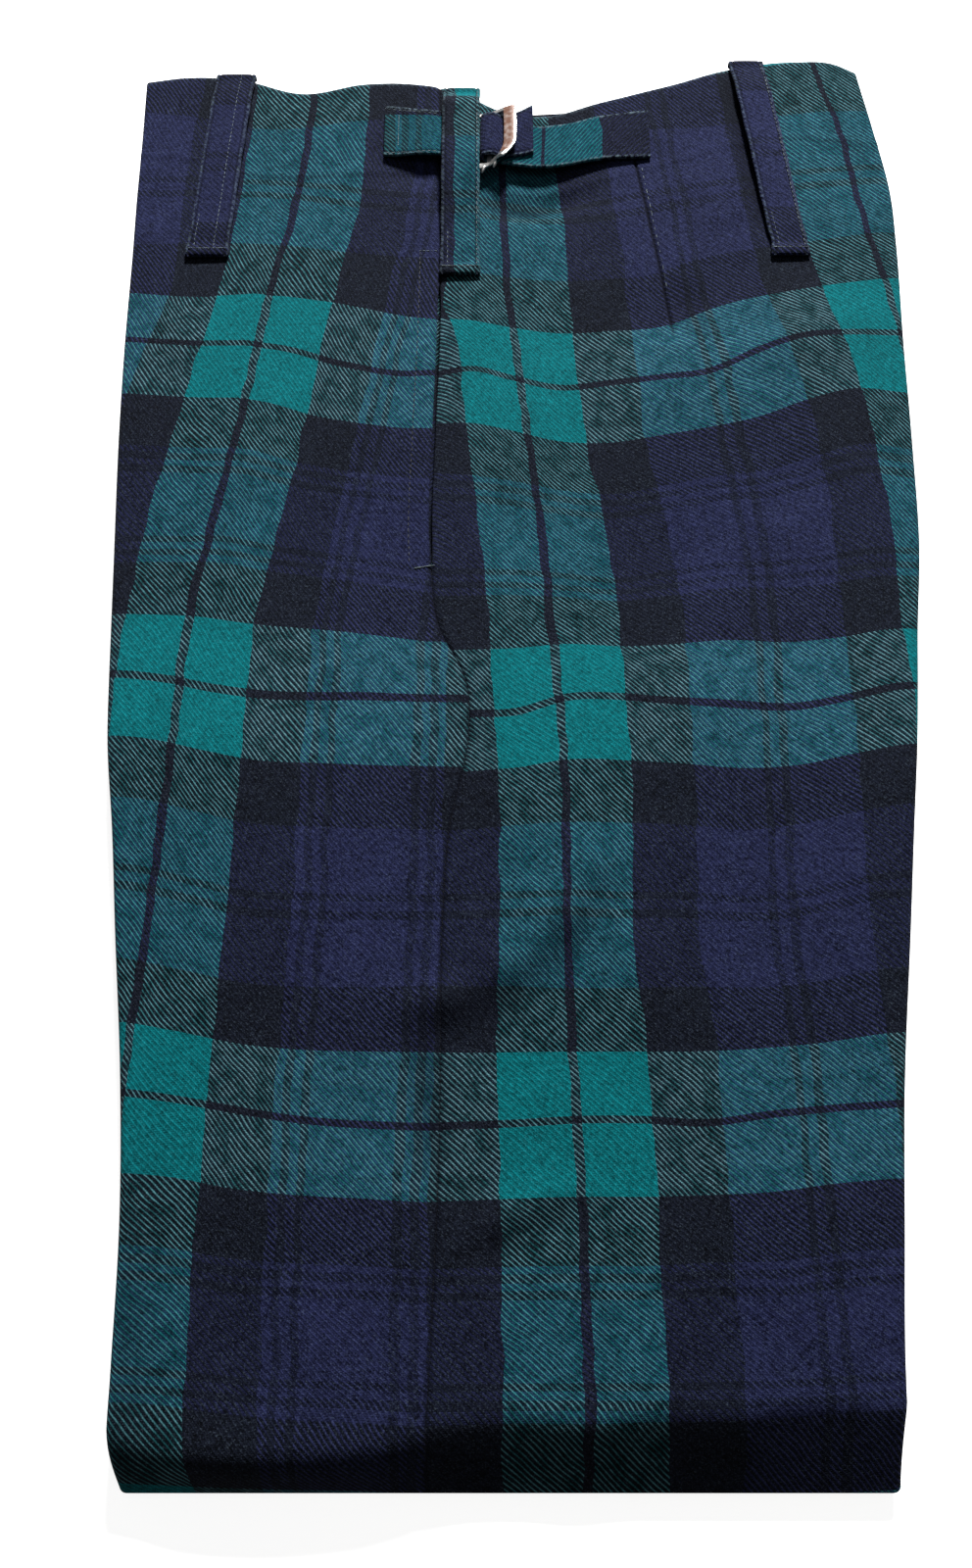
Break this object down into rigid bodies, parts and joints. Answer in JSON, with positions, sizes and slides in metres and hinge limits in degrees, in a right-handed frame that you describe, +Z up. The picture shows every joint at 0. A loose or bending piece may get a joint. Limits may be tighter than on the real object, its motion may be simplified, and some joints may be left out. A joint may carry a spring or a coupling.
{
  "type": "tartan trews",
  "caption": "Child's dark green and blue tartan trews folded flat with the legs turned under, with belt loops and a side strap and slide.",
  "frame": {"origin": "under the middle of the folded trews, on the surface that they lie on", "axes": "+X from the front edge to the back edge of the trews, +Y from the knee fold to the waist, +Z up out of the left leg's outer side"},
  "size_m": [0.3304, 0.579, 0.0233],
  "materials": {
    "front_tartan": "soft wool twill in a dark green, blue and black tartan",
    "back_tartan": "soft wool twill in a dark green, blue and black tartan",
    "hidden_layers": "the same wool twill, in shade between the layers",
    "strap_tartan": "the same wool twill, doubled and stitched",
    "slide_metal": "polished"
  },
  "bodies": {
    "root": {"left_front": "front_tartan", "left_back": "back_tartan", "right_front": "front_tartan", "right_back": "back_tartan", "folded_layers": "hidden_layers", "belt_loop_front": "strap_tartan", "belt_loop_side": "strap_tartan", "belt_loop_back": "strap_tartan", "adjuster_chape": "strap_tartan", "adjuster_strap": "strap_tartan", "waist_slide_buckle": "slide_metal"}
  },
  "joints": []
}
